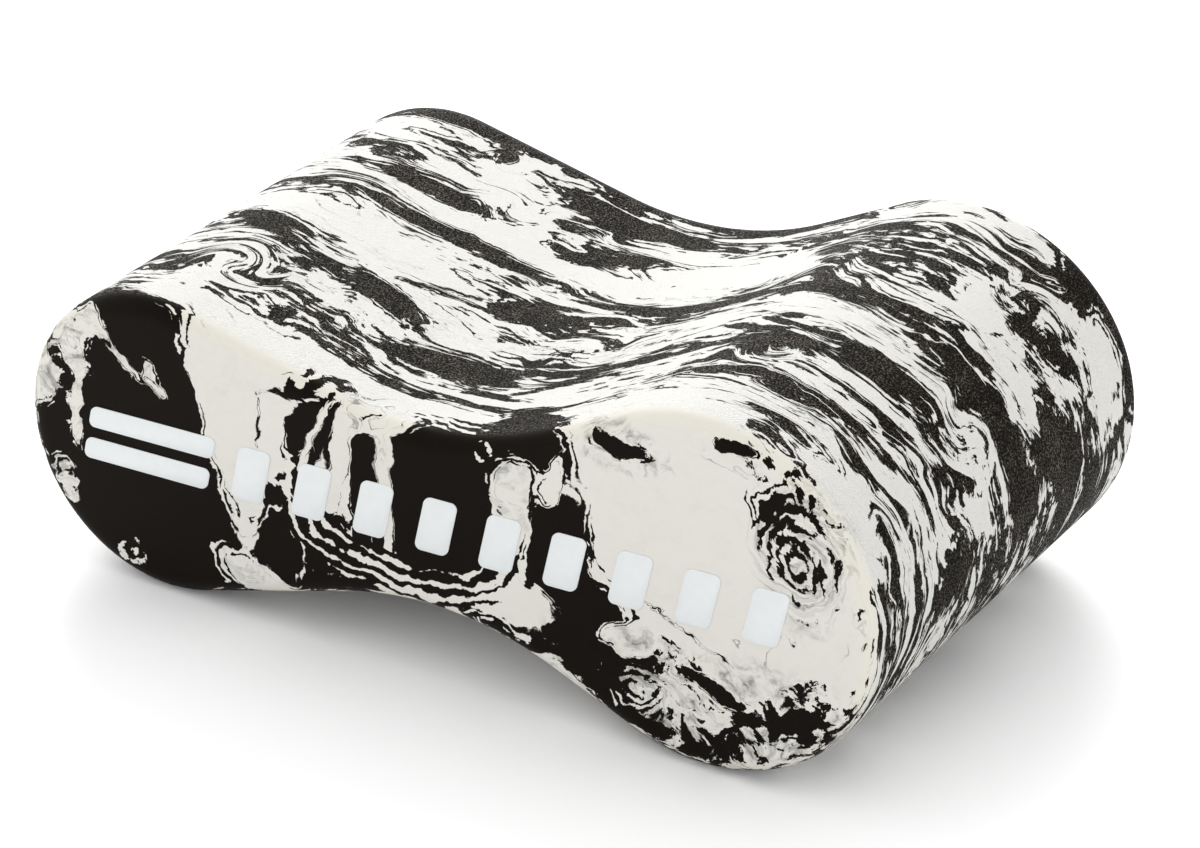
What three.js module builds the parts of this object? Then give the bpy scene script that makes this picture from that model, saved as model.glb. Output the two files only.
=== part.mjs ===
// A pull buoy: one block of marbled closed-cell foam that a swimmer holds between the thighs.
//
// Its outline is a peanut, two round lobes joined by a narrow waist, carried straight across
// the block's width, and the rim of both end faces is rounded over. One end face carries a
// printed row of plain slanted marks, each a thin film of ink on the foam's skin.
//
// Millimetres. +X runs from the small lobe to the large one, +Y from the printed face to the
// plain one, and +Z up. The origin lies on the floor under the middle of the block, which
// rests on both lobes.

import * as THREE from "three";

// ---- driving dimensions ---------------------------------------------------------------

const LENGTH = 240; // tip of one lobe to tip of the other
const WIDTH = 136; // between the two end faces
const SMALL_LOBE_RADIUS = 40;
const LARGE_LOBE_RADIUS = 46;
const WAIST_THICKNESS = 48; // foam left between the two thigh hollows
const HOLLOW_RADIUS = 86; // of the arc at the bottom of each hollow
const EDGE_ROUND = 5; // on the rim of both end faces
const EDGE_FACETS = 4; // across that rounding
const ARC_FACET = THREE.MathUtils.degToRad(7); // most that one facet of the outline turns

const INK_THICKNESS = 0.2;
const MARK_HEIGHT = 15;
const MARK_ROUND = 2; // corner radius of every mark
const MARK_LEAN = 0.27; // how far a mark's top stands to the right, for each mm of height
const CORNER_FACETS = 4;
const BAR_COUNT = 2; // stacked to the height of a block
const BAR_LENGTH = 38;
const BAR_HEIGHT = 6;
const BLOCK_COUNT = 9;
const BLOCK_LENGTH = 9.5;
const BLOCK_PITCH = 18;
const ROW_START = -98; // the row's left end, measured from the waist along the mid-line
const ROW_GAP = 7; // between the bars and the first block

// ---- materials ------------------------------------------------------------------------

const foam = new THREE.MeshStandardMaterial({ color: 0xa8a5a0, roughness: 0.85, metalness: 0 });
const ink = new THREE.MeshStandardMaterial({ color: 0xe9f0f4, roughness: 0.45, metalness: 0 });

// ---- the block's outline, x to the right and y up -------------------------------------

const smallLobe = new THREE.Vector2(SMALL_LOBE_RADIUS - LENGTH / 2, SMALL_LOBE_RADIUS);
const largeLobe = new THREE.Vector2(LENGTH / 2 - LARGE_LOBE_RADIUS, LARGE_LOBE_RADIUS);
const waist = smallLobe.clone().add(largeLobe).multiplyScalar(0.5);
const midLine = largeLobe.clone().sub(smallLobe);

// The centre of a hollow's arc: side is 1 for the upper hollow and -1 for the lower one.
function hollowCentre(side) {
  const across = new THREE.Vector2(-midLine.y, midLine.x).normalize();
  return across.multiplyScalar(side * (WAIST_THICKNESS / 2 + HOLLOW_RADIUS)).add(waist);
}

// The angle round a lobe at which a straight flank leaves it for a hollow. The flank touches
// the lobe's circle and the hollow's arc, which lie on opposite sides of it, so the same
// angle turned by half a turn is where it meets the hollow.
function flankAngle(lobe, lobeRadius, hollow, turn) {
  const toHollow = hollow.clone().sub(lobe);
  return toHollow.angle() + turn * Math.acos((lobeRadius + HOLLOW_RADIUS) / toHollow.length());
}

// Points along a circle through a list of angles, all of them included.
function arcPoints(centre, radius, ...angles) {
  const along = [angles[0]];
  angles.slice(1).forEach((to, i) => {
    const facets = Math.ceil(Math.abs(to - angles[i]) / ARC_FACET);
    for (let step = 1; step <= facets; step++)
      along.push(THREE.MathUtils.lerp(angles[i], to, step / facets));
  });
  return along.map((angle) =>
    new THREE.Vector2(Math.cos(angle), Math.sin(angle)).multiplyScalar(radius).add(centre),
  );
}

// Counter-clockwise from the upper flank of the large lobe. Each lobe's arc passes through its
// top, its tip and its underside, so that the facets keep the block's full length and height.
function blockOutline() {
  const turn = 2 * Math.PI;
  const upper = hollowCentre(1);
  const lower = hollowCentre(-1);
  const smallUpper = flankAngle(smallLobe, SMALL_LOBE_RADIUS, upper, 1);
  const smallLower = flankAngle(smallLobe, SMALL_LOBE_RADIUS, lower, -1);
  const largeLower = flankAngle(largeLobe, LARGE_LOBE_RADIUS, lower, 1) - turn;
  const largeUpper = flankAngle(largeLobe, LARGE_LOBE_RADIUS, upper, -1);
  const roundSmall = [smallUpper, turn / 4, turn / 2, (3 * turn) / 4, smallLower];
  const roundLarge = [largeLower, -turn / 4, 0, turn / 4, largeUpper];
  return new THREE.Shape([
    ...arcPoints(upper, HOLLOW_RADIUS, largeUpper + turn / 2, smallUpper + turn / 2),
    ...arcPoints(smallLobe, SMALL_LOBE_RADIUS, ...roundSmall),
    ...arcPoints(lower, HOLLOW_RADIUS, smallLower - turn / 2, largeLower + turn / 2),
    ...arcPoints(largeLobe, LARGE_LOBE_RADIUS, ...roundLarge),
  ]);
}

// ---- pieces ---------------------------------------------------------------------------

function namedMesh(name, geometry, material) {
  const mesh = new THREE.Mesh(geometry, material);
  mesh.name = name;
  return mesh;
}

// Stands an extrusion up: its outline faces -Y and its depth runs along Y.
function standUp(geometry) {
  return geometry.rotateX(Math.PI / 2);
}

function foamBlock() {
  const depth = WIDTH - 2 * EDGE_ROUND;
  const geometry = new THREE.ExtrudeGeometry(blockOutline(), {
    depth,
    bevelThickness: EDGE_ROUND,
    bevelSize: EDGE_ROUND,
    bevelOffset: -EDGE_ROUND,
    bevelSegments: EDGE_FACETS,
  });
  return namedMesh("foam_block", standUp(geometry.translate(0, 0, -depth / 2)), foam);
}

// One film of ink, a leaning rectangle with rounded corners, centred on its own origin.
function inkMark(name, length, height) {
  const right = length / 2 - MARK_ROUND;
  const top = height / 2 - MARK_ROUND;
  const outline = new THREE.Shape();
  const corners = [[right, top], [-right, top], [-right, -top], [right, -top]];
  corners.forEach(([x, y], i) => {
    outline.absarc(x, y, MARK_ROUND, (i * Math.PI) / 2, ((i + 1) * Math.PI) / 2);
  });
  const geometry = new THREE.ExtrudeGeometry(outline, {
    depth: INK_THICKNESS,
    bevelEnabled: false,
    curveSegments: CORNER_FACETS,
  });
  geometry.applyMatrix4(new THREE.Matrix4().makeShear(0, 0, MARK_LEAN, 0, 0, 0));
  return namedMesh(name, standUp(geometry), ink);
}

// The row lies on the front face and runs along the mid-line between the lobes' centres.
function printedRow() {
  const row = new THREE.Group();
  row.position.set(waist.x, -WIDTH / 2, waist.y);
  row.rotation.y = -midLine.angle();
  const barSpacing = (MARK_HEIGHT - BAR_HEIGHT) / (BAR_COUNT - 1);
  for (let i = 0; i < BAR_COUNT; i++) {
    const bar = inkMark(`print_bar_${i + 1}`, BAR_LENGTH, BAR_HEIGHT);
    const height = (MARK_HEIGHT - BAR_HEIGHT) / 2 - i * barSpacing;
    bar.position.set(ROW_START + BAR_LENGTH / 2 + MARK_LEAN * height, 0, height);
    row.add(bar);
  }
  const firstBlock = ROW_START + BAR_LENGTH + ROW_GAP + BLOCK_LENGTH / 2;
  for (let i = 0; i < BLOCK_COUNT; i++) {
    const block = inkMark(`print_block_${i + 1}`, BLOCK_LENGTH, MARK_HEIGHT);
    block.position.x = firstBlock + i * BLOCK_PITCH;
    row.add(block);
  }
  return row;
}

const pullBuoy = new THREE.Group();
pullBuoy.add(foamBlock(), printedRow());

export default pullBuoy;
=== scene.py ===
"""A pull buoy: one block of black and white marbled foam with a printed row of plain marks.

Metres, in the CAD frame: +X runs from the small lobe to the large one, +Y from the printed
end face to the plain one, and +Z up. The foam's pattern is written in millimetres, because
its streaks and specks are easier to read that way.
"""

import math

import bpy
import numpy as np
from mathutils import Matrix, Vector
from mathutils.kdtree import KDTree


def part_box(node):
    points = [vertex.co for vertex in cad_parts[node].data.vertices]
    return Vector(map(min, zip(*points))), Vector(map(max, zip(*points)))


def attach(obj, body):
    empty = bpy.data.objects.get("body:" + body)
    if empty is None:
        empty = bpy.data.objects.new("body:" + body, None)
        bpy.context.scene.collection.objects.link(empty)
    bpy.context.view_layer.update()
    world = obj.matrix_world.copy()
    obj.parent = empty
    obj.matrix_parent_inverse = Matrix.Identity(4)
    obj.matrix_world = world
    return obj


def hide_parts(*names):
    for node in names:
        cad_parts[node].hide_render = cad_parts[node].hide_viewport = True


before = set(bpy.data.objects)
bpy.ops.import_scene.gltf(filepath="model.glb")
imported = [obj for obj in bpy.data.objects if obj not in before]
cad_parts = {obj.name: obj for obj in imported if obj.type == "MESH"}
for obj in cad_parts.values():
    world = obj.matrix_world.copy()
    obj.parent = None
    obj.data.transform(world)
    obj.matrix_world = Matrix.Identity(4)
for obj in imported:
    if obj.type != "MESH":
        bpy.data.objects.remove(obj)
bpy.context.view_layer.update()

# ---- sizes ----------------------------------------------------------------------------

BLOCK_LOW, BLOCK_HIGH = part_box("foam_block")
LENGTH, WIDTH, HEIGHT = BLOCK_HIGH - BLOCK_LOW
SMALL_LOBE_RADIUS = 0.040
LARGE_LOBE_RADIUS = HEIGHT / 2
WAIST_THICKNESS = 0.048
HOLLOW_RADIUS = 0.086
EDGE_ROUND = 0.005  # on the rim of both end faces

FOAM_VOXEL = 0.0013  # side of the foam mesh's even faces
OUTLINE_STEP = 0.00015  # between neighbouring points of the outline that the mesh settles on

BAR_SIZE = (0.038, 0.006)
BLOCK_SIZE = (0.0095, 0.015)
MARK_ROUND = 0.002
MARK_LEAN = 0.27  # how far a mark's top stands to the right, for each unit of height
MARK_CORNER_STEPS = 12
INK_EDGE = 0.00008  # softened rim of each film of ink

MILLIMETRES = 1000.0  # shader positions are in millimetres
HALF_WIDTH_MM = WIDTH / 2 * MILLIMETRES


# ---- shader graphs --------------------------------------------------------------------


class Field:
    """A number or a vector that varies over a surface: one output of a shader node."""

    def __init__(self, graph, socket):
        self.graph = graph
        self.socket = socket

    def __add__(self, other):
        return self.graph.math("ADD", self, other)

    def __sub__(self, other):
        return self.graph.math("SUBTRACT", self, other)

    def __mul__(self, other):
        return self.graph.math("MULTIPLY", self, other)

    def shift(self, other):
        return self.graph.vector("ADD", self, other)

    def stretch(self, other):
        return self.graph.vector("MULTIPLY", self, other)


class Graph:
    """Short names for the shader nodes that this scene's materials use."""

    def __init__(self, name):
        self.material = bpy.data.materials.new(name)
        self.material.use_nodes = True
        self.tree = self.material.node_tree
        self.shader = self.tree.nodes["Principled BSDF"]

    def node(self, kind, inputs=(), **settings):
        made = self.tree.nodes.new("ShaderNode" + kind)
        for key, value in settings.items():
            setattr(made, key, value)
        for key, value in dict(inputs).items():
            self.feed(made.inputs[key], value)
        return made

    def feed(self, socket, value):
        if isinstance(value, Field):
            self.tree.links.new(value.socket, socket)
        else:
            socket.default_value = value

    def set(self, **inputs):
        """Sets or wires the surface shader's sockets; an underscore stands for a space."""
        for key, value in inputs.items():
            self.feed(self.shader.inputs[key.replace("_", " ")], value)

    def math(self, operation, *values):
        made = self.node("Math", enumerate(values), operation=operation)
        return Field(self, made.outputs[0])

    def vector(self, operation, *values):
        made = self.node("VectorMath", enumerate(values), operation=operation)
        return Field(self, made.outputs["Value" if operation == "LENGTH" else "Vector"])

    def position(self):
        """The place on the object in millimetres."""
        place = Field(self, self.node("TexCoord").outputs["Object"])
        return place.stretch((MILLIMETRES,) * 3)

    def along_y(self, amount):
        """A shift along Y."""
        return Field(self, self.node("CombineXYZ", {"Y": amount}).outputs["Vector"])

    def axis(self, place, name):
        made = self.node("SeparateXYZ", {"Vector": place})
        return Field(self, made.outputs[name])

    def blobs(self, place, size, offset, detail, roughness, curl=0.0):
        """A noise texture whose blobs have that width along X, Y and Z."""
        scale = [1.0 / s for s in size]
        where = self.node("Mapping", {"Vector": place, "Location": offset, "Scale": scale})
        inputs = {"Scale": 1.0, "Detail": detail, "Roughness": roughness, "Distortion": curl}
        return self.node("TexNoise", {"Vector": Field(self, where.outputs[0]), **inputs})

    def noise(self, place, size, detail=2.0, roughness=0.5, seed=0.0, curl=0.0):
        """Cloudy noise from about -1 to 1."""
        made = self.blobs(place, size, (seed, seed * 0.7, -seed), detail, roughness, curl)
        return self.math("MULTIPLY_ADD", Field(self, made.outputs["Fac"]), 4.0, -2.0)

    def warp(self, place, size, reach, detail=1.0, seed=0.0):
        """The place moved about by noise: blobs of that size, moved up to about that reach."""
        made = self.blobs(place, size, (seed, -seed, seed * 0.6), detail, 0.5)
        stretch = [4.0 * r for r in reach]
        back = [-2.0 * r for r in reach]
        moved = self.vector("MULTIPLY_ADD", Field(self, made.outputs["Color"]), stretch, back)
        return place.shift(moved)

    def ramp(self, value, start, end, low=0.0, high=1.0):
        """A smooth step of value: low up to start and high past end."""
        inputs = {"Value": value, 1: start, 2: end, 3: low, 4: high}
        made = self.node("MapRange", inputs, interpolation_type="SMOOTHSTEP")
        return Field(self, made.outputs["Result"])

    def local(self, place, centre, radii, tilt=0.0, axis=1):
        """place in the frame of an ellipsoid, where its surface is at length 1.

        tilt turns it by degrees about that axis: X is 0, Y is 1 and Z is 2.
        """
        away = place.shift([-c for c in centre])
        if not tilt:
            return away.stretch([1.0 / r for r in radii])
        cos, sin = math.cos(math.radians(tilt)), math.sin(math.radians(tilt))
        kept = [(1.0 if i == axis else cos) / r for i, r in enumerate(radii)]
        moved = [(0.0 if i == axis else sin) / r for i, r in enumerate(radii)]
        about = [float(i == axis) for i in range(3)]
        turned = self.vector("CROSS_PRODUCT", away, about).stretch(moved)
        return self.vector("MULTIPLY_ADD", away, kept, turned)

    def pool(self, place, centre, radii, tilt=0.0, axis=1, soft=0.6):
        """1 inside an ellipsoid, falling to 0 outside it across a soft band."""
        far = self.vector("LENGTH", self.local(place, centre, radii, tilt, axis))
        return self.ramp(far, 1.0 + soft, 1.0 - soft)

    def mix(self, share, first, second):
        made = self.node("Mix", {"Factor": share}, data_type="RGBA")
        self.feed(made.inputs["A"], first)
        self.feed(made.inputs["B"], second)
        return Field(self, made.outputs["Result"])


# ---- the foam's marbling --------------------------------------------------------------
#
# The foam is pressed from torn black and white sheets that lie roughly square to Y. So the
# pattern is one solid texture of thin leaves: an end face cuts it flat, into pools and rings,
# and the surface round the block cuts it edge on, into long streaks. Where the number that
# the functions below add up is above zero the foam is white, and elsewhere black.

FRONT = -HALF_WIDTH_MM  # Y of the printed end face
POOL_DEPTH = 9.0  # how far a pool on an end face reaches into the block
SIDE_STARTS = 111.0  # beyond this X the surface round the block runs up and down

# Pools on the printed end face: (x, z), (half length, half height), tilt, strength.
# A positive strength is white and a negative one black.
FACE_POOLS = (
    # small lobe
    ((-79, 58), (17, 26), 0, -1.9),
    ((-82, 24), (26, 26), 0, -2.2),
    ((-110, 48), (12, 26), 0, 0.4),
    ((-105, 63), (8, 6), 35, 1.7),
    ((-97, 70), (6, 4), 45, 2.2),
    ((-91, 64), (9, 1.7), 45, 2.4),
    ((-80, 60), (2.2, 6), -25, 2.2),
    ((-81, 57), (5, 1.8), 30, 1.6),
    ((-97, 58), (8, 3), 40, -1.4),
    ((-111, 60), (1.8, 8), -25, -1.5),
    ((-115, 53), (3.5, 9), 15, 1.5),
    ((-104.5, 46), (1.7, 10), 3, 2.6),
    ((-99, 46), (3.4, 9), 0, -1.3),
    ((-113, 38), (4.5, 7), 0, -2.3),
    ((-109, 24), (3, 9), -20, 1.7),
    # white band from the top edge down to the lower hollow
    ((-58, 72), (12, 12), 0, 2.2),
    ((-56, 52), (8, 16), 0, 2.2),
    ((-53, 33), (5, 12), -15, 1.6),
    ((-52, 14), (10, 5), 14, 2.0),
    # the outlined white loop beside it
    ((-43, 57), (5, 10), 6, 2.6),
    ((-48.5, 58), (0.6, 8), 0, -3.4),
    ((-43, 66.5), (6, 0.6), -6, -2.8),
    ((-44, 25), (7, 9), 0, -2.0),
    # stripes between the loop and the waist
    ((-37.5, 58), (3.0, 9.5), 28, -3.4),
    ((-33.5, 58), (0.9, 9), 24, 2.6),
    ((-31, 57), (0.9, 10), 20, -3.0),
    ((-26.5, 53), (2.0, 13), 8, 2.8),
    ((-18.5, 49), (3.2, 14), 0, -3.2),
    ((-18, 65), (8, 1.6), 0, 1.8),
    ((-12, 50), (2.2, 13), -5, 2.7),
    # black at the waist
    ((4, 50), (15, 17), 0, -2.6),
    ((14, 24), (15, 4), -25, 1.2),
    ((18, 19.5), (12, 2.2), 14, -1.8),
    ((36, 11), (15, 4), 17, 2.0),
    # right of the waist
    ((24, 54), (5, 17), 0, 1.7),
    ((29, 73), (10, 6), 0, -2.2),
    ((38, 52), (7, 18), 20, -2.2),
    ((36, 66), (2.2, 6), 10, 2.4),
    ((48, 27), (8, 15), -18, -1.9),
    ((27, 30), (7, 5.5), 0, 2.2),
    # the large white pool of the large lobe
    ((70, 64), (27, 26), 0, 2.4),
    ((92, 42), (22, 16), 0, 1.9),
    ((110, 62), (8, 22), 0, 1.4),
    ((56, 79), (10, 3.2), 6, -2.9),
    ((84, 88), (5, 1.4), 0, -3.2),
    # lower right
    ((55, 29), (6, 3.2), -10, 2.6),
    ((80, 23), (7, 2.2), 8, -2.4),
    ((72, 35), (14, 0.5), 22, -2.2),
    ((72, 16), (10, 5), 0, 0.9),
    ((60, 8), (12, 2.0), 14, -1.2),
    ((90, 11), (14, 5), -14, 0.2),
    ((104, 27), (8, 5), -35, -0.9),
    # round the knot, and its tail
    ((100, 66), (10, 14), -8, -1.2),
    ((96, 74), (8, 6), 20, -1.5),
    ((98, 44), (2, 4), 0, -1.8),
)

# Places where the sheets were rolled up: (x, z), radii, turns, strength.
FACE_KNOTS = (
    ((101, 63), (12, 15), 4.6, 1.7),
    ((58, 17), (9, 6), 3.0, 1.9),
    ((-90, 9), (4.6, 3.8), 1.3, 3.6),
    ((16, 20), (13, 3), 1.6, 1.5),
)

# The frame of nested lines round the black at the waist: centre, half sizes, lines.
FRAME_CENTRE = (-6.0, 50.0)
FRAME_RADII = (30.0, 22.0)
FRAME_LINES = 7.0
FRAME_SQUARENESS = 2.6  # 2 is an ellipse, and more is nearer to a box

# Places where the sheets were torn into scraps: centre, radii, strength.
TEARS = (
    ((-108, FRONT, 48), (18, 9, 32), 1.5),
    ((-86, FRONT, 62), (14, 9, 12), 1.5),
    ((94, FRONT, 15), (34, 9, 17), 2.3),
    ((56, FRONT, 79), (13, 9, 6), 2.2),
    ((102, FRONT, 65), (13, 9, 19), 1.8),
    ((22, FRONT, 56), (10, 9, 20), 1.1),
    ((48, FRONT, 22), (18, 9, 14), 1.4),
    ((-54, FRONT, 14), (12, 9, 8), 1.2),
    ((-56, -24, 78), (34, 13, 34), 0.9),
    ((12, -22, 67), (40, 12, 20), 0.9),
    ((116, -6, 44), (16, 34, 24), 0.7),
    ((-104, 40, 70), (24, 20, 24), 0.8),
    ((0, 68, 46), (140, 9, 60), 0.8),
)

# Places where they were drawn out into thin strands.
STRANDS = (
    ((112, -42, 60), (34, 24, 50), 1.7),
    ((64, -44, 90), (40, 13, 24), 1.3),
    ((70, 10, 92), (44, 9, 24), 1.0),
    ((92, 52, 89), (30, 10, 24), 1.2),
    ((-20, -24, 70), (60, 14, 20), 0.9),
    ((-50, 12, 76), (60, 7, 20), 0.8),
    ((-90, 0, 78), (30, 60, 30), 0.8),
    ((-4, 46, 68), (60, 14, 16), 0.8),
    ((0, 0, 12), (90, 60, 30), 0.8),
)

# Places where they were torn smaller still, into chips.
CHIPS = (
    ((84, 34, 91), (30, 13, 20), 1.7),
    ((112, 40, 72), (14, 22, 20), 1.3),
    ((116, 0, 50), (12, 50, 36), 1.0),
    ((-30, 34, 71), (30, 8, 14), 1.0),
    ((40, -40, 80), (34, 10, 14), 1.3),
    ((-40, -42, 72), (34, 9, 14), 1.2),
    ((16, -14, 68), (24, 8, 14), 1.1),
    ((-106, FRONT, 54), (14, 8, 28), 1.7),
    ((92, FRONT, 15), (32, 8, 16), 2.3),
    ((56, FRONT, 79), (13, 8, 6), 1.4),
    ((100, FRONT, 72), (12, 8, 13), 1.8),
    ((-84, FRONT, 60), (10, 8, 9), 1.8),
    ((-110, 0, 30), (20, 60, 30), 0.9),
    ((20, 68, 40), (60, 8, 40), 0.8),
)

# Streaks on the surface round the block: (x, y, z), (half length, half width), tilt, strength.
# A positive tilt leads back, to +Y, on the way round to the large lobe.
CUT_STREAKS = (
    # the far edge
    ((-72, 65, 79), (32, 6), 0, -1.9),
    ((4, 66, 68), (48, 4), 0, -1.7),
    ((28, 63, 74), (20, 4), -4, -0.9),
    ((-84, 54, 80), (22, 4), 0, 0.9),
    ((-14, 53, 68), (30, 5), -3, -1.1),
    ((-24, 47, 69), (18, 3.4), -6, -0.8),
    ((50, 47, 85), (20, 4), -8, -0.5),
    ((34, 55, 78), (22, 2.4), -6, 0.6),
    ((-44, 47, 73), (16, 5), 4, 1.0),
    ((-86, 45, 80), (16, 3), 0, 0.8),
    ((0, 43, 67), (16, 3), 0, 0.9),
    # broken patches behind the long white tongue
    ((-82, 36, 80), (11, 3), 6, -0.7),
    ((-98, 33, 76), (14, 5), 0, 0.9),
    ((-42, 36, 73), (11, 4), 0, 0.9),
    ((-60, 27, 77), (18, 4), 3, -1.2),
    ((-10, 36, 67), (10, 4), 0, -1.1),
    ((-34, 29, 71), (6, 3), 30, 0.7),
    # the long white tongue, and the black below it
    ((-40, 22, 71), (42, 4), 0, 1.0),
    ((22, 26, 72), (28, 10), 3, 1.3),
    ((54, 31, 88), (14, 3), -42, -0.6),
    ((-52, 13, 75), (38, 3.4), 2, -1.1),
    ((40, 8, 80), (38, 3.6), -3, -1.2),
    # the second tongue, with its black nose
    ((-66, -3, 78), (40, 7), 0, 1.3),
    ((-15, -4, 68), (7, 4), 0, -1.6),
    ((-34, -11, 71), (15, 1.4), 14, -1.0),
    ((-30, 5, 71), (14, 2), -6, 0.7),
    ((56, -4, 88), (36, 4), -2, 1.0),
    ((6, 2, 67), (5, 3), 0, -0.9),
    # black lenses in the torn part
    ((-84, -15, 80), (14, 5), -12, -1.1),
    ((-42, -23, 72), (13, 4), -24, -1.3),
    ((-34, -18, 71), (20, 2.4), -14, 0.8),
    ((0, -20, 67), (30, 2), 12, 0.7),
    ((-10, -36, 67), (17, 5.5), 8, -1.1),
    ((22, -27, 72), (20, 2.8), 10, -0.8),
    ((-74, -46, 80), (10, 3), 10, 0.5),
    ((34, -42, 77), (18, 7), -10, 0.6),
    ((30, -16, 75), (12, 5), 30, 0.4),
    # lenses over the large lobe
    ((70, -23, 92), (10, 3), 0, -0.8),
    ((98, -16, 84), (15, 4), 4, -1.0),
    ((86, -36, 90), (17, 2.4), 0, 1.1),
    ((84, -41, 91), (24, 2.6), 4, -1.0),
    ((90, -28, 88), (16, 1.6), 0, 0.6),
    # the near edge
    ((-40, -60, 72), (50, 8), 0, 1.0),
    ((22, -60, 72), (8, 9), 30, -1.8),
    ((56, -61, 88), (22, 8), 0, 1.0),
    ((-28, -62, 70), (4, 2), 0, -2.0),
    ((-95, -64, 78), (15, 5), -20, -1.5),
    ((92, -54, 88), (10, 2), 0, -1.2),
    ((90, -61, 88), (9, 1.8), 0, -1.2),
    ((106, -58, 78), (15, 5), 0, 1.0),
    # the large lobe's end
    ((96, 26, 87), (8, 7), -10, 1.1),
    ((116, 51, 62), (13, 8), 0, 1.3),
    ((104, 60, 80), (8, 5), -30, -1.1),
    ((115, 63, 62), (14, 4.5), 0, -1.2),
    ((105, 33, 76), (9, 4), 10, -1.0),
    ((110, 45, 68), (7, 2.4), 15, -0.9),
    ((112, 38, 72), (10, 4), 20, -0.9),
    ((110, 16, 75), (14, 3.4), 12, 0.8),
    ((118, 24, 56), (12, 9), 20, -1.2),
    ((112, 4, 72), (20, 5), 6, -1.3),
    ((119, -15, 56), (11, 4), 45, 1.1),
    ((116, -6, 65), (6, 2), -50, 0.8),
    ((119, -30, 46), (11, 7), -40, -1.1),
    ((117, 8, 32), (8, 4), -20, 0.7),
    ((116, -34, 30), (14, 4), -30, 0.9),
    ((116, 42, 30), (14, 6), 0, -0.9),
    # wide areas that are darker than the rest
    ((118, 10, 30), (32, 42), 0, -0.65),
    ((84, 44, 91), (26, 16), 0, -0.25),
)

# Eddies that turn the sheets over: centre, axis, radius, angle in degrees.
EDDIES = (
    ((-75, -38, 80), (0, 0, 1), 15, 120),
    ((46, 24, 82), (0.3, 0, 1), 24, -100),
    ((-56, 54, 76), (0, 0, 1), 9, 140),
    ((-44, 34, 73), (0, 0, 1), 13, 90),
    ((104, 38, 82), (0.6, 0, 0.8), 14, -130),
    ((112, -10, 72), (0.7, 0, 0.7), 14, -60),
    ((-118, 20, 44), (1, 0, 0), 22, -100),
    ((12, -16, 68), (0, 0, 1), 14, 100),
    ((66, -30, 91), (0, 0, 1), 12, 80),
    ((60, 10, 8), (0, 0, 1), 22, 130),
    ((-60, -20, 4), (0, 0, 1), 24, -120),
    ((40, 68, 52), (0, 1, 0), 30, 160),
    ((-70, 68, 42), (0, 1, 0), 26, -150),
)

# Eddies on the printed end face: (x, z), radius, angle.
FACE_EDDIES = (
    ((102, 65), 17, 300),
    ((58, 16), 13, 120),
    ((-90, 9), 8, 200),
    ((-106, 50), 18, 50),
    ((88, 11), 13, -70),
    ((-50, 17), 11, 120),
    ((22, 62), 10, -90),
    ((-80, 62), 10, 120),
)


def on_face(point):
    return (point[0], FRONT, point[1])


def disc(radii):
    return (radii[0], POOL_DEPTH, radii[1])


def composition(graph, place):
    """The pools and streaks that are listed, with ragged outlines."""
    total = None
    for centre, radii, tilt, strength in FACE_POOLS:
        pool = graph.pool(place, on_face(centre), disc(radii), tilt) * strength
        total = pool if total is None else total + pool
    for centre, (along, wide), tilt, strength in CUT_STREAKS:
        axis = 0 if centre[0] > SIDE_STARTS else 2
        radii = (along, wide, along)
        total = total + graph.pool(place, centre, radii, tilt, axis, soft=0.5) * strength
    return total


def knots(graph, place):
    """Broken rings of black and white round the knots."""
    wobble = graph.noise(place, (8, 8, 8), detail=5.0, roughness=0.62, seed=4.0)
    flaw = graph.noise(place, (3, 3, 3), detail=3.0, roughness=0.6, seed=24.0)
    broken = graph.ramp(graph.noise(place, (6, 4, 6), detail=2.0, seed=14.0), -1.1, 0.3)
    total = None
    for centre, radii, turns, strength in FACE_KNOTS:
        far = graph.vector("LENGTH", graph.local(place, on_face(centre), disc(radii)))
        wave = graph.math("SINE", far * (turns * math.tau) + wobble * 4.4) + flaw * 1.0
        ring = wave * graph.ramp(far, 1.3, 0.85) * strength
        total = ring if total is None else total + ring
    return total * broken


def nested_frame(graph, place):
    """Lines of black and white that run round the waist's black, widest below it."""
    wobble = graph.noise(place, (14, 9, 14), detail=3.0, seed=6.0)
    across = graph.local(place, on_face(FRAME_CENTRE), disc(FRAME_RADII))
    away = [graph.math("ABSOLUTE", graph.axis(across, name)) for name in "XYZ"]
    raised = [graph.math("POWER", length, FRAME_SQUARENESS) for length in away]
    far = graph.math("POWER", raised[0] + raised[1] + raised[2], 1 / FRAME_SQUARENESS)
    flaw = graph.noise(place, (16, 16, 9), detail=4.0, roughness=0.6, seed=16.0)
    wave = graph.math("SINE", far * (FRAME_LINES * math.tau) + wobble * 1.9) + flaw * 0.8
    band = graph.ramp(far, 0.74, 0.84) * graph.ramp(far, 1.42, 1.2)
    below = graph.ramp(graph.axis(place, "Z"), 44.0, 33.0, 0.75, 1.7)
    return wave * band * below


def eddy(graph, place, centre, axis, radius, angle):
    """The place turned about a centre: fully there, and less towards the radius."""
    away = graph.vector("LENGTH", place.shift([-c for c in centre]))
    turn = graph.ramp(away, radius, 0.0, 0.0, math.radians(angle))
    inputs = {"Vector": place, "Center": centre, "Axis": axis, "Angle": turn}
    made = graph.node("VectorRotate", inputs, rotation_type="AXIS_ANGLE")
    return Field(graph, made.outputs["Vector"])


def torn_places(graph, place, rows):
    """How strongly torn pieces show, place by place."""
    total = None
    for centre, radii, strength in rows:
        tear = graph.pool(place, centre, radii) * strength
        total = tear if total is None else total + tear
    return total


def ragged_place(graph, place):
    """The place moved about a little, which frays the listed outlines."""
    place = graph.warp(place, (24, 20, 24), (2.2, 1.5, 2.2), seed=5.0)
    return graph.warp(place, (6, 4, 6), (1.3, 0.7, 1.3), detail=4.0, seed=2.0)


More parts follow.
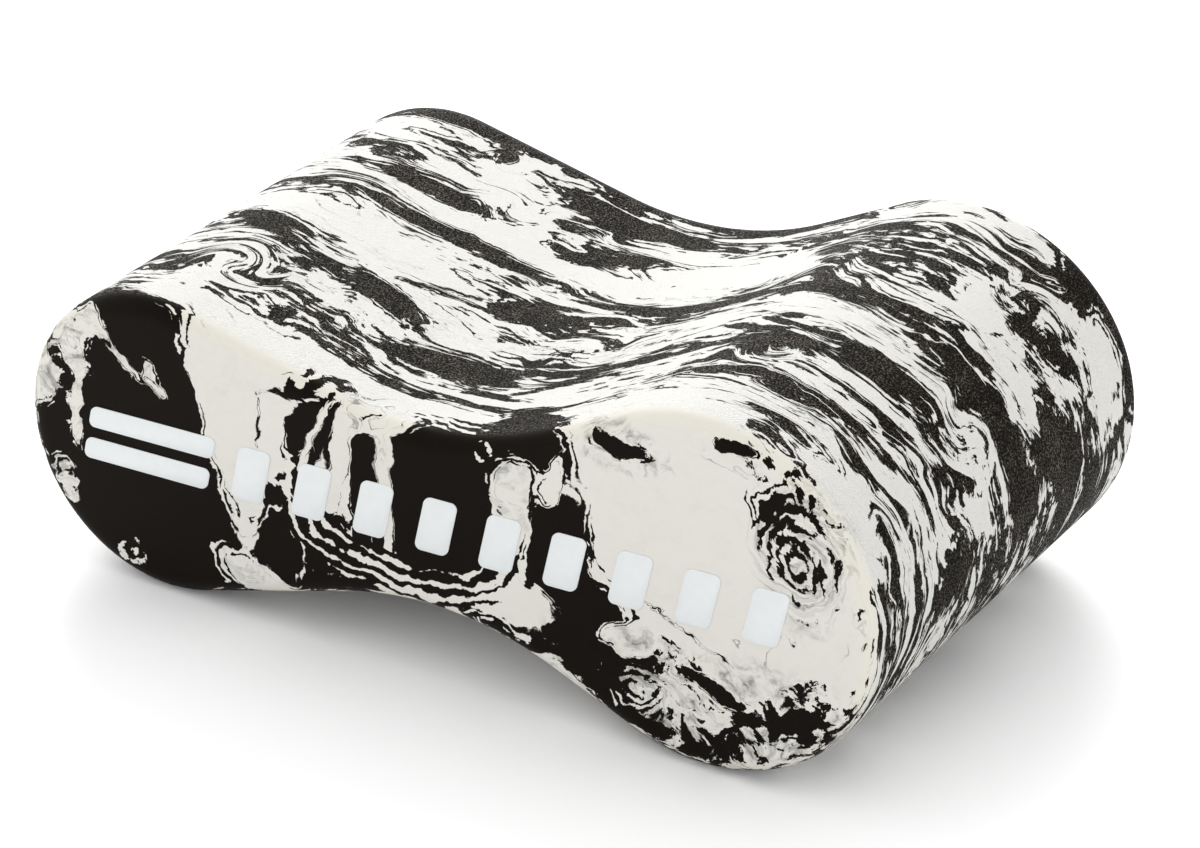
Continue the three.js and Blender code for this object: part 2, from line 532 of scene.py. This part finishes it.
def folded_place(graph, place):
    """The place as the eddies and folds of the sheets carried it."""
    for centre, axis, radius, angle in EDDIES:
        place = eddy(graph, place, centre, axis, radius, angle)
    place = graph.warp(place, (80, 60, 80), (9, 7, 9), seed=3.1)
    place = graph.warp(place, (24, 16, 24), (5, 3.4, 5), seed=7.7)
    return graph.warp(place, (7, 3, 7), (1.9, 0.7, 1.9), detail=4.0, seed=1.9)


def rolled_place(graph, place):
    """The place turned by the eddies on the printed end face."""
    for centre, radius, angle in FACE_EDDIES:
        place = eddy(graph, place, on_face(centre), (0, 1, 0), radius, angle)
    return place


def edge_leaves(graph, place, bent, broad):
    """Thin leaves of the other colour, beside the edges of the broad pattern."""
    near_edge = graph.ramp(graph.math("ABSOLUTE", broad), 1.5, 0.2)
    near_edge = near_edge * graph.ramp(graph.noise(place, (26, 12, 26), seed=61.0), -0.8, 0.5, 0.35)
    leaves = graph.noise(bent, (40, 2.3, 40), detail=4.0, roughness=0.66, seed=23.0)
    return leaves * near_edge * 1.5


def edge_echo(graph, place, broad):
    """Lines that repeat the edges of the broad pattern, here and there."""
    wobble = graph.noise(place, (12, 8, 12), detail=3.0, seed=29.0) * 1.8
    echo = graph.math("SINE", broad * 8.0 + wobble)
    echo = echo * graph.ramp(graph.math("ABSOLUTE", broad), 1.5, 0.5)
    return echo * graph.ramp(graph.noise(place, (22, 10, 22), seed=33.0), -0.5, 0.5) * 0.9


def hairlines(graph, place, bent):
    """How strongly thin dark lines show in the white."""
    hair = graph.math("ABSOLUTE", graph.noise(bent, (22, 5, 22), detail=4.0, seed=71.0))
    hair = graph.ramp(hair, 0.0, 0.055, 0.72, 0.0)
    return hair * graph.ramp(graph.noise(place, (30, 14, 30), seed=81.0), 0.1, 0.8)


def smoke(graph, rolled, torn):
    """How strongly grey smears show in the white, thickest where it was torn."""
    smear = graph.noise(rolled, (7, 1.6, 5), detail=5.0, roughness=0.7, seed=91.0, curl=1.0)
    return graph.ramp(smear, -0.3, 1.1) * graph.ramp(torn, 0.5, 1.6, 0.05, 0.85)


def marble(graph, place):
    """How white the foam is, from 0 to 1."""
    ragged = ragged_place(graph, place)
    folded = folded_place(graph, place)
    rolled = rolled_place(graph, ragged)

    placed = composition(graph, ragged)
    broad = graph.noise(folded, (46, 8, 46), detail=6.0, roughness=0.6, seed=11.0) + placed
    bent = folded.shift(graph.along_y(placed * 2.6))
    field = broad + edge_leaves(graph, place, bent, broad) + edge_echo(graph, place, broad)

    torn = torn_places(graph, ragged, TEARS)
    scraps = graph.noise(rolled, (13, 4, 8), detail=6.0, roughness=0.62, seed=31.0, curl=1.2)
    chips = graph.noise(ragged, (8, 3.6, 6), detail=6.0, roughness=0.58, seed=37.0, curl=0.8)
    strands = graph.noise(bent, (34, 1.5, 34), detail=3.0, roughness=0.6, seed=47.0)
    field = field + scraps * torn + chips * torn_places(graph, ragged, CHIPS)
    field = field + strands * torn_places(graph, ragged, STRANDS)
    field = field + knots(graph, ragged) + nested_frame(graph, ragged)

    feather = graph.noise(folded, (9, 0.7, 9), detail=3.0, roughness=0.7, seed=41.0)
    field = field + feather * graph.ramp(graph.math("ABSOLUTE", field), 0.7, 0.0) * 0.45
    soft = graph.ramp(graph.noise(place, (16, 8, 16), seed=51.0), -0.4, 1.0, 0.03, 0.26)
    white = graph.ramp(field, soft * -1.0, soft)
    clean = graph.math("SUBTRACT", 1.0, hairlines(graph, place, bent))
    return white * clean * graph.math("SUBTRACT", 1.0, smoke(graph, rolled, torn))


# ---- materials ------------------------------------------------------------------------

# Colours are linear. A pair is the colour between the grain's specks, and on them.
CUT_BLACK = ((0.003, 0.002, 0.0012, 1), (0.098, 0.082, 0.062, 1))
CUT_WHITE = ((0.640, 0.634, 0.608, 1), (0.600, 0.593, 0.566, 1))
SKIN_BLACK = ((0.0040, 0.0026, 0.0018, 1), (0.0075, 0.0052, 0.0040, 1))
SKIN_WHITE = (0.625, 0.612, 0.570, 1)
RIM_PAINTED_SHADING = (0.640, 0.618, 0.555, 1)  # where the skin bends over the rim: painted shading, a cream band standing in for the soft glow of light as the rim turns into shade
INK = ((0.645, 0.672, 0.678, 1), (0.668, 0.692, 0.697, 1))
SPECULAR_TINT = (1.0, 0.90, 0.76, 1)

SKIN_ROUGHNESS = 0.5
GRAIN_ROUGHNESS = (0.90, 0.24)  # in the grain's pits, and on its specks
GRAIN_SIZE = 0.5  # millimetres
GRAIN_HEIGHT = 0.00014  # metres


def foam_material():
    """Smooth skin on the end faces, and the grain of cut foam round the block."""
    graph = Graph("marbled_foam")
    place = graph.position()
    white = marble(graph, place)
    depth = graph.math("ABSOLUTE", graph.axis(place, "Y"))
    cut = graph.ramp(depth, HALF_WIDTH_MM - 2.5, HALF_WIDTH_MM - 5.5)
    cells = graph.noise(place, (GRAIN_SIZE,) * 3, detail=2.0, roughness=0.7)
    cloud = graph.noise(place, (9, 9, 9), detail=2.0, seed=3.0)

    grain = graph.ramp(cells + cloud * 0.25, 0.0, 1.0)
    cut_black = graph.mix(grain, *CUT_BLACK)
    cut_white = graph.mix(grain, *CUT_WHITE)
    skin_black = graph.mix(grain, *SKIN_BLACK)
    # The rim band below is painted shading: a cream tint standing in for the soft glow of light
    # where the rounded rim turns into shade.
    rim = graph.ramp(depth, HALF_WIDTH_MM - 7.0, HALF_WIDTH_MM - 4.5)
    rim = rim * graph.ramp(depth, HALF_WIDTH_MM, HALF_WIDTH_MM - 1.0)
    skin_white_and_rim_shading = graph.mix(rim, SKIN_WHITE, RIM_PAINTED_SHADING)
    black = graph.mix(cut, skin_black, cut_black)
    pale = graph.mix(cut, skin_white_and_rim_shading, cut_white)
    colour = graph.mix(white, black, pale)
    rough = graph.ramp(cells, -0.5, 0.9, *GRAIN_ROUGHNESS) - SKIN_ROUGHNESS
    rough = rough * cut + SKIN_ROUGHNESS
    bump = graph.node("Bump", {"Height": cells * cut, "Distance": GRAIN_HEIGHT, "Strength": 0.9})
    graph.set(Base_Color=colour, Roughness=rough, Specular_IOR_Level=0.05)
    graph.set(Specular_Tint=SPECULAR_TINT, Normal=Field(graph, bump.outputs["Normal"]))
    return graph.material


def ink_material():
    """A film of white ink, a little cloudy."""
    graph = Graph("white_ink")
    place = graph.position()
    cloud = graph.noise(place, (2.5, 2.5, 2.5), detail=3.0)
    colour = graph.mix(graph.ramp(cloud, -1.2, 1.2), *INK)
    graph.set(Base_Color=colour, Roughness=0.45, Specular_IOR_Level=0.3)
    return graph.material


# ---- meshes ---------------------------------------------------------------------------


def add_piece(name, mesh, material, replaced):
    for polygon in mesh.polygons:
        polygon.use_smooth = True
    mesh.materials.clear()
    mesh.materials.append(material)
    piece = bpy.data.objects.new(name, mesh)
    bpy.context.scene.collection.objects.link(piece)
    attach(piece, "root")
    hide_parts(replaced)
    return piece


def lobe_centres():
    small = np.array([SMALL_LOBE_RADIUS - LENGTH / 2, SMALL_LOBE_RADIUS])
    large = np.array([LENGTH / 2 - LARGE_LOBE_RADIUS, LARGE_LOBE_RADIUS])
    return small, large


def arc(centre, radius, start, end):
    """Points along an arc, and the directions from its centre to them."""
    steps = max(2, math.ceil(abs(end - start) * radius / OUTLINE_STEP))
    angle = np.linspace(start, end, steps)
    outward = np.stack([np.cos(angle), np.sin(angle)], 1)
    return centre + outward * radius, outward


def flank(first, last, outward):
    """Points along a straight flank, and its direction outwards."""
    steps = max(2, math.ceil(np.linalg.norm(last - first) / OUTLINE_STEP))
    share = np.linspace(0, 1, steps)[:, None]
    return first + (last - first) * share, np.tile(outward, (steps, 1))


def block_outline():
    """The block's outline in X and Z, closely spaced, and the direction outwards at each point.

    Two round lobes and two hollows, joined by straight flanks that touch both.
    """
    small, large = lobe_centres()
    waist = (small + large) / 2
    along = (large - small) / np.linalg.norm(large - small)
    across = np.array([-along[1], along[0]])
    turn = 2 * math.pi
    parts = []
    ends = {}
    for side in (1, -1):
        hollow = waist + side * across * (WAIST_THICKNESS / 2 + HOLLOW_RADIUS)
        angles = []
        for lobe, radius, bend in ((small, SMALL_LOBE_RADIUS, 1), (large, LARGE_LOBE_RADIUS, -1)):
            to_hollow = hollow - lobe
            spread = math.acos((radius + HOLLOW_RADIUS) / np.linalg.norm(to_hollow))
            angle = math.atan2(to_hollow[1], to_hollow[0]) + side * bend * spread
            outward = np.array([math.cos(angle), math.sin(angle)])
            parts.append(flank(lobe + outward * radius, hollow - outward * HOLLOW_RADIUS, outward))
            ends[(bend, side)] = angle
            angles.append(angle + math.pi)
        points, inward = arc(hollow, HOLLOW_RADIUS, *angles)
        parts.append((points, -inward))
    parts.append(arc(small, SMALL_LOBE_RADIUS, ends[(1, 1)], ends[(1, -1)] + turn))
    parts.append(arc(large, LARGE_LOBE_RADIUS, ends[(-1, -1)], ends[(-1, 1)]))
    return (np.concatenate(rows) for rows in zip(*parts))


def settle_on_block(points):
    """Moves points near the block's surface onto its exact, rounded shape."""
    outline, outward = block_outline()
    tree = KDTree(len(outline))
    for i, (x, z) in enumerate(outline):
        tree.insert((x, 0.0, z), i)
    tree.balance()
    nearest = np.array([tree.find((p[0], 0.0, p[2]))[1] for p in points])
    normal = outward[nearest]
    beyond = np.einsum("ij,ij->i", points[:, [0, 2]] - outline[nearest], normal) + EDGE_ROUND
    flat_half = WIDTH / 2 - EDGE_ROUND
    deep = np.abs(points[:, 1]) - flat_half
    reach = np.hypot(np.maximum(beyond, 0), np.maximum(deep, 0))
    on_rim = (beyond > 0) & (deep > 0)
    rim = EDGE_ROUND / np.maximum(reach, 1e-9)
    new_beyond = np.where(on_rim, beyond * rim, np.where(deep > beyond, beyond, EDGE_ROUND))
    new_deep = np.where(on_rim, deep * rim, np.where(deep > beyond, EDGE_ROUND, deep))
    settled = points.copy()
    settled[:, [0, 2]] += normal * (new_beyond - beyond)[:, None]
    settled[:, 1] = np.sign(points[:, 1]) * (flat_half + new_deep)
    return settled


def foam_mesh():
    """The CAD block's mesh, cut into small even faces that lie on the exact rounded shape."""
    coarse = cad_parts["foam_block"].data.copy()
    carrier = bpy.data.objects.new("foam_source", coarse)
    bpy.context.scene.collection.objects.link(carrier)
    remesh = carrier.modifiers.new("even_faces", "REMESH")
    remesh.mode = "VOXEL"
    remesh.voxel_size = FOAM_VOXEL
    mesh = bpy.data.meshes.new_from_object(
        carrier.evaluated_get(bpy.context.evaluated_depsgraph_get())
    )
    bpy.data.objects.remove(carrier)
    points = np.empty(len(mesh.vertices) * 3)
    mesh.vertices.foreach_get("co", points)
    mesh.vertices.foreach_set("co", settle_on_block(points.reshape(-1, 3)).ravel())
    mesh.update()
    return mesh


def leaning_mark(length, height, corner, inset=0.0):
    """Points round a leaning rectangle with round corners, counter-clockwise, moved in by inset."""
    right, top, radius = length / 2 - corner, height / 2 - corner, corner - inset
    centres = ((right, top), (-right, top), (-right, -top), (right, -top))
    points = []
    for quarter, (x, z) in enumerate(centres):
        for step in range(MARK_CORNER_STEPS + 1):
            angle = (quarter + step / MARK_CORNER_STEPS) * math.pi / 2
            up = z + radius * math.sin(angle)
            points.append((x + radius * math.cos(angle) + MARK_LEAN * up, up))
    return points


def ink_film(name, size, material):
    """One film of ink with a softened rim, where the CAD's plain film lies."""
    low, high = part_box(name)
    centre = (low + high) / 2
    small, large = lobe_centres()
    tilt = math.atan2(large[1] - small[1], large[0] - small[0])
    turn = Matrix.Rotation(-tilt, 3, "Y")
    rings = ((high.y, 0.0), (low.y + INK_EDGE, 0.0), (low.y, INK_EDGE))
    points, faces = [], []
    for y, inset in rings:
        for x, z in leaning_mark(*size, MARK_ROUND, inset):
            points.append(turn @ Vector((x, 0.0, z)) + Vector((centre.x, y, centre.z)))
    count = len(points) // len(rings)
    faces.append(list(range(count)))
    faces.append([2 * count + i for i in reversed(range(count))])
    for ring in range(len(rings) - 1):
        for i in range(count):
            j = (i + 1) % count
            a, b = ring * count, (ring + 1) * count
            faces.append((a + j, a + i, b + i, b + j))
    mesh = bpy.data.meshes.new(name + "_ink")
    mesh.from_pydata(points, [], faces)
    mesh.update()
    return add_piece(name + "_ink", mesh, material, name)


foam = add_piece("foam_body", foam_mesh(), foam_material(), "foam_block")

white_ink = ink_material()
for node in sorted(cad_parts):
    if node.startswith("print_"):
        ink_film(node, BAR_SIZE if "bar" in node else BLOCK_SIZE, white_ink)


# ---- studio ---------------------------------------------------------------------------

FLOOR_SIDE = 60.0
CAMERA_PLACE = Vector((0.52505, -0.8268, 0.5660))
CAMERA_AIM = Vector((0.00498, 0.00111, 0.03982))
CAMERA_LENS = 134.69  # millimetres
SENSOR_WIDTH = 36.0  # millimetres
FLOOR_COLOUR = (0.93, 0.93, 0.93, 1)
WORLD_STRENGTH = 1.2


def plain_floor():
    half = FLOOR_SIDE / 2
    mesh = bpy.data.meshes.new("studio_floor")
    corners = [(-half, -half, 0), (half, -half, 0), (half, half, 0), (-half, half, 0)]
    mesh.from_pydata(corners, [], [(0, 1, 2, 3)])
    graph = Graph("studio_floor")
    graph.set(Base_Color=FLOOR_COLOUR, Roughness=0.9, Specular_IOR_Level=0.0)
    mesh.materials.append(graph.material)
    floor = bpy.data.objects.new("studio_floor", mesh)
    bpy.context.scene.collection.objects.link(floor)


def soft_light(name, place, aim, side, power):
    light = bpy.data.lights.new(name, "AREA")
    light.shape = "SQUARE"
    light.size = side
    light.energy = power
    lamp = bpy.data.objects.new(name, light)
    lamp.location = place
    lamp.rotation_euler = (Vector(aim) - Vector(place)).to_track_quat("-Z", "Y").to_euler()
    lamp.visible_camera = False
    bpy.context.scene.collection.objects.link(lamp)


def studio():
    world = bpy.data.worlds.new("white_room")
    world.use_nodes = True
    backdrop = world.node_tree.nodes["Background"]
    backdrop.inputs["Color"].default_value = (1, 1, 1, 1)
    backdrop.inputs["Strength"].default_value = WORLD_STRENGTH
    bpy.context.scene.world = world
    bpy.context.scene.view_settings.view_transform = "Standard"
    plain_floor()
    soft_light("top_softbox", (0.0, 0.65, 1.35), (0, 0, 0), side=1.5, power=2.0)
    soft_light("rear_softbox", (-0.75, 1.2, 0.78), (0, 0, 0), side=1.0, power=25.0)


def camera():
    data = bpy.data.cameras.new("camera")
    data.sensor_width = SENSOR_WIDTH
    data.lens = CAMERA_LENS
    eye = bpy.data.objects.new("camera", data)
    eye.location = CAMERA_PLACE
    eye.rotation_euler = (CAMERA_AIM - CAMERA_PLACE).to_track_quat("-Z", "Y").to_euler()
    bpy.context.scene.collection.objects.link(eye)
    bpy.context.scene.camera = eye


studio()
camera()
